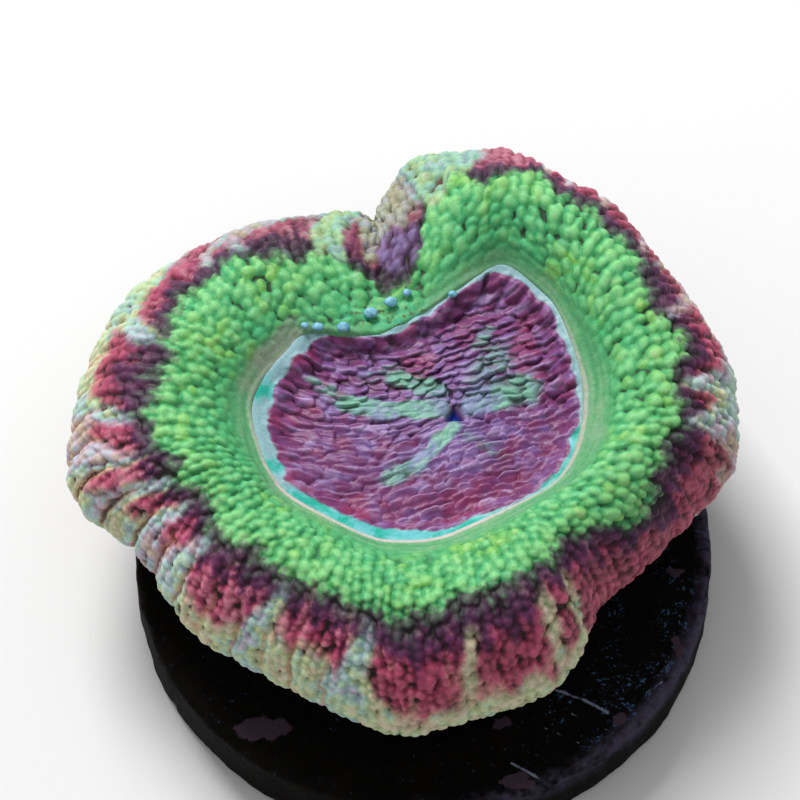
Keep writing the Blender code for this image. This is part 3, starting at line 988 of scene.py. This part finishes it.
def fleshFinish():
    material, s = newFinish("coralFlesh")
    look = fleshLook
    tip, tone, zone, pale, smooth = (s.value(name) for name in ("tip", "tone", "zone", "pale", "smooth"))
    streak, under, fromLip, lipShow = (s.value(name) for name in ("streak", "under", "fromLip", "lipShow"))
    lilac, flecks, greyLip, share = (s.value(name) for name in ("lilac", "flecks", "greyLip", "share"))
    groove, tint, salmon, slits = (s.value(name) for name in ("groove", "tint", "salmon", "slits"))
    spokes, dusk = s.value("spokes"), s.value("dusk")
    broad, fine, blotch = s.lumps(4.0), s.lumps(0.35, 3.0), s.lumps(1.4, 3.0)

    ragged = (zone - 1).ease(0.0, 0.4)
    depth = zone + (blotch - 0.5) * 0.2 + (fine - 0.5) * 0.4 + ragged * ((blotch - 0.5) * 0.8 + spokes * 0.3)
    along = depth / 5.0
    coat = {part: along.ramp(look[part]) for part in ("crevice", "body", "top")}
    green = 1 - along.ease(0.17, 0.21)
    hue = broad * 0.65 + blotch * 0.4 + tone * 0.30
    layOver(coat, green * hue.ease(0.70, 0.95), look["yellow"])
    layOver(coat, green * (1 - hue.ease(0.44, 0.68)), look["bluish"])
    reddish = along.ease(0.36, 0.46)
    warm = salmon + (blotch - 0.5) * 1.4 + (fine - 0.5) * 0.5 + spokes * 0.25
    layOver(coat, reddish * warm.ease(0.45, 1.1), look["salmon"])
    layOver(coat, reddish * (1 - warm.ease(-0.1, 0.5)), look["dusky"])

    cream = (pale + (blotch - 0.5) * 0.7 + (fine - 0.5) * 0.4 + spokes * 0.15).ease(0.05, 0.95)
    tint = (tint + (fine - 0.5) * 0.35 + (blotch - 0.5) * 0.35).ramp(look["paleTints"])
    # painted shade on the pale beads: a brown crevice colour and the tint darkened on their sides; painted
    # highlight: near white on their tops
    coat["crevice"] = cream.mix(coat["crevice"], look["creamCrevice"])
    coat["body"] = (cream * 0.88).mix(coat["body"], s.shade(tint, look["inShade"]))
    coat["top"] = (cream * 0.93).mix(coat["top"], (cream * 0.2).mix(tint, look["creamHighlight"]))
    # painted shade: the skirt's colours darkened at the back and in the notch
    backShaded = (1 - green) * (dusk + (blotch - 0.5) * 0.6).ease(0.1, 1.1)
    for part in ("body", "top"):
        coat[part] = backShaded.mix(coat[part], s.shade(coat[part], look["backShadeTint"]))
    layOver(coat, (share + (fine - 0.5) * 0.1).ease(1.02, 1.14), look["rimBrown"])
    layOver(coat, (lilac + (blotch - 0.5) * 0.9 + (tone - 0.5) * 0.4).ease(0.25, 0.85), look["lilac"])

    # painted shade: crevice colours where a bead sinks and on its outward side, darker still among the reds;
    # painted highlight: top colours on its crown
    raised = tip - under.ease(0.2, 1.0) * 0.2 * (1 - green) + (fine - 0.5) * 0.4
    colour = (raised - reddish * (1 - cream) * 0.10).ease(0.02, 0.40).mix(coat["crevice"], coat["body"])
    colour = (raised.ease(0.42, 0.95) * 0.8).mix(colour, coat["top"])
    # painted shadow: short near-black dashes in the crevices between beads
    slitShadow = 1 - (tip + (fine - 0.5) * 0.15).ease(0.08, 0.34)
    slitShadow = slitShadow * (s.lumps(0.55) + slits * 0.15).ease(0.50, 0.62)
    colour = (slitShadow * (1 - smooth) * slits * 0.85 * (1 - cream * 0.8)).mix(colour, look["slitShadow"])
    # painted highlight along the edges of the lobes' grooves, and painted shade down in them
    colour = ((groove + (fine - 0.5) * 0.2).ease(0.14, 0.26) * 0.4).mix(colour, look["grooveEdgeHighlight"])
    colour = (groove.ease(0.26, 0.50) * 0.75).mix(colour, look["groove"])
    bare = (streak * 0.25 + fine * 0.6 + blotch * 0.3).ease(0.1, 0.8)
    bare = bare.mix(look["smoothDeep"], look["smoothGreen"])
    bare = ((blotch + streak * 0.15).ease(0.48, 0.68) * 0.5).mix(bare, look["smoothGrey"])
    colour = (smooth * 0.85).mix(colour, bare)
    colour = ((greyLip + (blotch - 0.5) * 0.8).ease(0.2, 1.0) * 0.6).mix(colour, look["greyBand"])
    lipLine = 1 - s.maths("ABSOLUTE", fromLip - 0.05).ease(0.05, 0.24)
    colour = (lipLine * lipShow * (0.55 + fine * 0.7)).mix(colour, look["lipLine"])
    fleck = s.lumps(0.32, 3.0)
    colour = (flecks * fleck.ease(0.50, 0.62) * 0.8).mix(colour, look["fleckTeal"])
    colour = (flecks * (1 - fleck.ease(0.34, 0.46)) * 0.8).mix(colour, look["fleckBrown"])
    height = fine * 0.6 + s.lumps(0.12, 2.0) * 0.4
    finishSurface(s, speckled(s, colour), 0.52 + fine * 0.12, grain(s, height, 0.04, 0.8), look["surface"])
    return material


oralLook = {
    # deep is painted shade between the scales, lilac and rose are painted highlights on them, and mintDeep
    # is painted shade in the mint
    "deep": linear(56, 18, 50),
    "purple": linear(114, 52, 106),
    "violet": linear(118, 88, 148),
    "red": linear(142, 42, 82),
    "lilac": linear(170, 150, 198),
    "rose": linear(160, 100, 138),
    "mint": linear(120, 180, 156),
    "mintDeep": linear(74, 110, 102),
    "paleLilac": linear(124, 136, 172),
    "teal": linear(24, 170, 150),
    "cyan": linear(104, 190, 196),
    "edge": linear(140, 178, 186),
    "throat": linear(36, 76, 186),
}


def oralFinish():
    material, s = newFinish("oralFlesh")
    look = oralLook
    tip, tone, mint, ridge, band = (s.value(name) for name in ("tip", "tone", "mint", "ridge", "band"))
    paleEdge, throat, edge, teal = (s.value(name) for name in ("paleEdge", "throat", "edge", "teal"))
    upper, streak = s.value("upper"), s.value("streak")
    blotch, fine, broad, fleck = s.lumps(2.0, 3.0), s.lumps(0.3, 3.0), s.lumps(3.0), s.lumps(0.7, 3.0)
    red = blotch.ease(0.48, 0.66) * 0.6 + edge.ease(0.55, 0.9) * 0.10 + streak.ease(0.2, 0.6) * 0.2
    near = 1 - edge.ease(0.2, 0.75)
    body = (tone * 0.5 + fleck * 0.9 + near * 0.3).ease(0.5, 1.1).mix(look["purple"], look["violet"])
    body = (red * (1 - near * 0.6)).mix(body, look["red"])
    top = (red * 0.8).mix(look["lilac"], look["rose"])
    # painted shade: the deep colour where the scales sink, stronger on the upper half; painted highlight:
    # lilac and rose on their raised free edges and crowns
    raised = tip + (fine - 0.5) * 0.5
    sunken = (1 - (raised + streak * 0.15).ease(0.08, 0.46)) * (0.30 + upper * 0.48)
    colour = sunken.mix(body, look["deep"])
    lit = ridge * (0.27 - upper * 0.05) + raised.ease(0.45, 1.2) * 0.4 + (fleck - 0.5) * 1.1
    lit = lit + near * 0.15 + streak * 0.6
    colour = (lit.ease(0.10, 0.95) * 0.78).mix(colour, top)
    pale = (broad + (fleck - 0.5) * 0.4).ease(0.45, 0.65).mix(look["mint"], look["paleLilac"])
    # painted shade: the mint darker where it sinks
    pale = raised.ease(0.20, 0.70).mix(look["mintDeep"], pale)
    mintiness = mint * 1.15 + (fleck - 0.5) * 1.0 + streak * 0.15 + ridge * 0.15 - 0.05
    colour = (mintiness.ease(0.15, 0.95) * 0.95).mix(colour, pale)
    paleness = (paleEdge + (fleck - 0.5) * 0.8).ease(0.35, 0.9) * 0.85 * raised.ease(0.1, 0.5)
    colour = paleness.mix(colour, look["edge"])
    patch = (teal + (fleck - 0.5) * 1.2).ease(0.30, 0.80)
    bluer = (blotch + (fine - 0.5) * 0.3).ease(0.42, 0.62)
    rim = patch.mix(look["edge"], bluer.mix(look["teal"], look["cyan"]))
    colour = (band + (fine - 0.5) * 0.5).ease(0.35, 0.75).mix(colour, rim)
    colour = throat.mix(colour, look["throat"])
    height = fine * 0.6 + s.lumps(0.12, 2.0) * 0.4
    bump = grain(s, height, 0.03, 0.7)
    finishSurface(s, speckled(s, colour), 0.38 + fine * 0.12, bump, fleshLook["surface"])
    return material


def wallFinish():
    material, s = newFinish("stonyWall")
    tip, down, fine = s.value("tip"), s.value("down"), s.lumps(0.4, 4.0)
    patches = s.lumps(1.5, 3.0)
    colour = (tip * 0.6 + fine * 0.5).ease(0.3, 0.9).mix(*wall["ribBrown"])
    colour = (patches.ease(0.45, 0.65) * 0.6).mix(colour, wall["patchRose"])
    colour = (down + (patches - 0.5) * 0.3).ease(0.70, 1.0).mix(colour, wall["footDark"])
    colour = (1 - (down + (patches - 0.5) * 0.2).ease(0.1, 0.45)).mix(colour, wall["skirtBrown"])
    finishSurface(s, colour, 0.6 + fine * 0.2, grain(s, fine, 0.08), {})
    return material


print("coral: finishes")
fleshMaterial, oralMaterial, wallMaterial = fleshFinish(), oralFinish(), wallFinish()
for piece in fleshPieces:
    piece.data.materials.append(fleshMaterial)
oralDisc.data.materials.append(oralMaterial)
underside.data.materials.append(wallMaterial)
settle(flesh, "coral_flesh", "polyp")
for piece in (mantleLeft, skirtRight, skirtLeft, oralDisc, underside):
    settle(piece, "coral_flesh")


# small blue beads that stand on the slope between the notch and the lip

blueBeads = {
    # where each stands, in plan, and its radius
    "places": [((-5.8, 9.1), 0.28), ((-4.4, 9.1), 0.32), ((-2.9, 10.0), 0.34), ((-1.8, 10.7), 0.32),
               ((1.6, 11.2), 0.22), ((-6.5, 9.2), 0.20), ((-0.9, 11.3), 0.22)],
    "height": 12.28,
    "colour": linear(132, 186, 214),
    "shadow": linear(86, 146, 166),
    "flatten": (1.15, 0.95, 0.70),
}


def makeBlueBeads():
    deselectAll()
    made = []
    for (x, y), radius in blueBeads["places"]:
        bpy.ops.mesh.primitive_ico_sphere_add(subdivisions=4, radius=radius * mm,
                                              location=(x * mm, y * mm, blueBeads["height"] * mm))
        bead = bpy.context.object
        bpy.ops.object.mode_set(mode="EDIT")
        bpy.ops.transform.resize(value=blueBeads["flatten"])
        bpy.ops.object.mode_set(mode="OBJECT")
        made.append(bead)
    for bead in made:
        bead.select_set(True)
    bpy.context.view_layer.objects.active = made[0]
    bpy.ops.object.join()
    bpy.ops.object.transform_apply(location=True, rotation=True, scale=True)
    bpy.ops.object.shade_smooth()
    return namePiece("blue_beads")


def blueFinish():
    material, s = newFinish("blueTips")
    mottle = s.lumps(0.25, 3.0)
    colour = mottle.ease(0.3, 0.7).mix(blueBeads["shadow"], blueBeads["colour"])
    finishSurface(s, colour, 0.4 + mottle * 0.1, grain(s, mottle, 0.03), fleshLook["surface"])
    return material


# the round disc of dark fired clay that the coral stands on

disc = {
    "corners": 192,
    "ringStep": 1.1,
    "rings": 12,
    "edgeRound": 0.5,
    "topFrom": (3.3, 3.8),  # the heights between which a place begins to count as the top
    "edgeFrom": (15.2, 15.7),  # and the radii between which it begins to count as the edge that takes the painted highlight
    "crustHeight": 0.12,
    "rough": 0.07,
    "roughSize": 1.3,
    "clay": linear(5, 5, 4),
    "clayLight": linear(14, 12, 8),
    # a painted highlight along the top's rim
    "wornEdge": linear(66, 62, 80),
    "crust": linear(62, 48, 60),
    "chalk": linear(112, 120, 142),
    "speck": linear(64, 96, 136),
    # patches of pale crust, place and radii in millimetres
    "crusts": [((-8.7, -11.2), (1.7, 0.75)), ((5.0, -14.3), (1.1, 0.5)), ((4.1, -10.8), (0.8, 0.3)),
               ((10.6, -10.6), (0.4, 0.5)), ((13.9, -6.3), (0.3, 0.8)), ((13.9, -1.7), (0.5, 0.3))],
    # pale scratches on the top: from, to, half width
    "scratches": [((7.2, -8.9), (8.6, -9.4), 0.09), ((8.6, -9.4), (9.9, -10.2), 0.10),
                  ((6.5, -11.1), (8.3, -12.0), 0.06), ((8.0, -10.3), (10.2, -11.4), 0.05),
                  ((11.4, -9.5), (12.9, -8.4), 0.06), ((4.7, -13.2), (6.3, -14.2), 0.08)],
}


def makeDisc():
    centre = (discLow + discHigh) / 2
    deselectAll()
    bpy.ops.mesh.primitive_cylinder_add(vertices=disc["corners"], radius=(discHigh.x - discLow.x) / 2,
                                        depth=discHigh.z - discLow.z, location=centre)
    piece = namePiece("frag_disc_clay")
    # the top and bottom rims are rounded over
    for edge in piece.data.edges:
        low, high = (piece.data.vertices[k].co.z for k in edge.vertices)
        edge.select = abs(low - high) < 1e-6
    for face in piece.data.polygons:
        face.select = False
    bpy.ops.object.mode_set(mode="EDIT")
    bpy.ops.mesh.select_mode(type="EDGE")
    bpy.ops.mesh.bevel(offset=disc["edgeRound"] * mm, segments=4, affect="EDGES")
    bpy.ops.mesh.select_mode(type="FACE")
    bpy.ops.mesh.select_all(action="DESELECT")
    bpy.ops.object.mode_set(mode="OBJECT")
    # both flat faces are stepped inward ring by ring
    for face in piece.data.polygons:
        face.select = abs(face.normal.z) > 0.99
    bpy.ops.object.mode_set(mode="EDIT")
    for ring in range(disc["rings"]):
        bpy.ops.mesh.inset(thickness=disc["ringStep"] * mm)
    bpy.ops.mesh.poke()
    bpy.ops.mesh.select_all(action="SELECT")
    bpy.ops.mesh.subdivide(number_cuts=1)
    bpy.ops.object.mode_set(mode="OBJECT")
    bpy.ops.object.transform_apply(location=True, rotation=True, scale=True)
    roughen(piece)
    bpy.ops.object.shade_smooth()
    return piece


def roughen(piece):
    # the clay's uneven surface, where its crusts lie, and where the painted highlight runs along its rim
    places = np.array([vertex.co[:] for vertex in piece.data.vertices]) / mm
    normals = np.array([vertex.normal[:] for vertex in piece.data.vertices])
    bump = cloud(places, disc["roughSize"], 41) + 0.4 * cloud(places, disc["roughSize"] / 3, 42)
    plan, top = places[:, :2], smoothStep(*disc["topFrom"], places[:, 2])
    crust = np.zeros(len(places))
    for centre, radii in disc["crusts"]:
        crust = np.maximum(crust, patchAmount(plan, centre, radii) * top)
    lift = disc["rough"] * (bump - 0.6) + disc["crustHeight"] * crust
    movePoints(piece, (places + normals * lift[:, None]) * mm)
    radius = np.hypot(plan[:, 0], plan[:, 1])
    edge = smoothStep(*disc["edgeFrom"], radius) * smoothStep(3.2, 3.6, places[:, 2])
    keepValues(piece, crust=crust, wornEdge=edge * smoothStep(-2, 5, plan[:, 0]), top=top,
               right=smoothStep(2, 10, plan[:, 0]))


def discFinish():
    material, s = newFinish("darkClay")
    look = disc
    crust, edgeHighlightMask, top, right = (s.value(name) for name in ("crust", "wornEdge", "top", "right"))
    fine, grit, broad = s.lumps(0.5, 5.0), s.lumps(0.16, 3.0), s.lumps(2.2, 3.0)
    colour = (fine * 0.6 + broad * 0.4).ease(0.38, 0.72).mix(look["clay"], look["clayLight"])
    specks = (grit * 0.6 + fine * 0.4 + right * 0.07).ease(0.62, 0.70) * broad.ease(0.40, 0.60) * top * 0.8
    colour = specks.mix(colour, look["speck"])
    # painted highlight: a thin pale line along the top's rim on the right side, broken by noise
    edgeHighlightAmount = edgeHighlightMask * (broad * 0.6 + fine * 0.6).ease(0.44, 0.66) * 0.8
    colour = edgeHighlightAmount.mix(colour, look["wornEdge"])
    colour = (crust * 1.4 + (fine - 0.5) * 1.6).ease(0.45, 0.75).mix(colour, look["crust"])
    place = s.node("ShaderNodeTexCoord", output=3)
    for start, end, width in look["scratches"]:
        colour = scratch(s, place, start, end, width, fine).mix(colour, look["chalk"])
    height = fine * 0.6 + grit * 0.4
    finishSurface(s, colour, 0.50 + fine * 0.3, grain(s, height, 0.12), {"Specular IOR Level": 0.04})
    return material


def scratch(s, place, start, end, width, ragged):
    # 1 on a short line on the disc's top, fading to 0 at its ragged sides
    start, end = Vector(start).to_3d() * mm, Vector(end).to_3d() * mm
    start.z = end.z = discHigh.z
    along = (end - start).normalized()
    fromStart = s.vector("SUBTRACT", place, tuple(start))
    reach = s.vector("DOT_PRODUCT", fromStart, tuple(along), output=1)
    reach = s.maths("MINIMUM", s.maths("MAXIMUM", reach, 0.0), (end - start).length)
    nearest = s.vector("SCALE", tuple(along), scale=reach)
    away = s.vector("LENGTH", s.vector("SUBTRACT", fromStart, nearest), output=1)
    return 1 - (away / (width * mm) + (ragged - 0.5) * 2.5).ease(0.6, 1.4)


print("coral: blue beads and the clay disc")
beadPiece = makeBlueBeads()
beadPiece.data.materials.append(blueFinish())
settle(beadPiece, "coral_flesh")
discPiece = makeDisc()
discPiece.data.materials.append(discFinish())
settle(discPiece, "frag_disc", "frag_disc")


# floor, light and camera: metres, degrees and watts, and the lens in millimetres

studio = {
    "floorSize": 2.4,
    "floorGreys": ((0.71, 0.71, 0.71, 1), (0.75, 0.75, 0.75, 1)),
    "keyPlace": (-0.14, 0.32, 0.38),
    "keySize": 0.22,
    "nearestSeen": 0.005,
    "cameraTurn": 0.0,
    "cameraHeight": 60.0,
    "cameraAway": 0.210,
    "lookAt": (-0.0013, 0.0058, 0.010),
    "lens": 172.6,
    "keyPower": 3.05,
    "fillLight": 0.49,
}


def makeStudio():
    deselectAll()
    bpy.ops.mesh.primitive_plane_add(size=studio["floorSize"], location=(0, 0, 0))
    floor = namePiece("floor")
    material, s = newFinish("paleFloor")
    speckle = s.lumps(30.0)
    finishSurface(s, speckle.mix(*studio["floorGreys"]), 0.8 + speckle * 0.05, grain(s, speckle, 0.1), {})
    floor.data.materials.append(material)

    world = bpy.data.worlds.new("studio")
    bpy.context.scene.world = world
    world.use_nodes = True
    sky = world.node_tree.nodes["Background"]
    sky.inputs["Color"].default_value = (1, 1, 1, 1)
    sky.inputs["Strength"].default_value = studio["fillLight"]

    bpy.ops.object.light_add(type="AREA", location=studio["keyPlace"])
    key = bpy.context.object
    key.name = "keyLight"
    key.data.size = studio["keySize"]
    key.data.energy = studio["keyPower"]
    key.rotation_euler = (-key.location).to_track_quat("-Z", "Y").to_euler()

    turn, height = math.radians(studio["cameraTurn"]), math.radians(studio["cameraHeight"])
    level = math.cos(height)
    back = Vector((-math.sin(turn) * level, -math.cos(turn) * level, math.sin(height)))
    bpy.ops.object.camera_add(location=Vector(studio["lookAt"]) + back * studio["cameraAway"])
    camera = bpy.context.object
    camera.data.lens = studio["lens"]
    camera.data.clip_start = studio["nearestSeen"]
    camera.rotation_euler = (-back).to_track_quat("-Z", "Y").to_euler()
    bpy.context.scene.camera = camera
    bpy.context.scene.view_settings.view_transform = "Standard"


print("coral: floor, light and camera")
makeStudio()
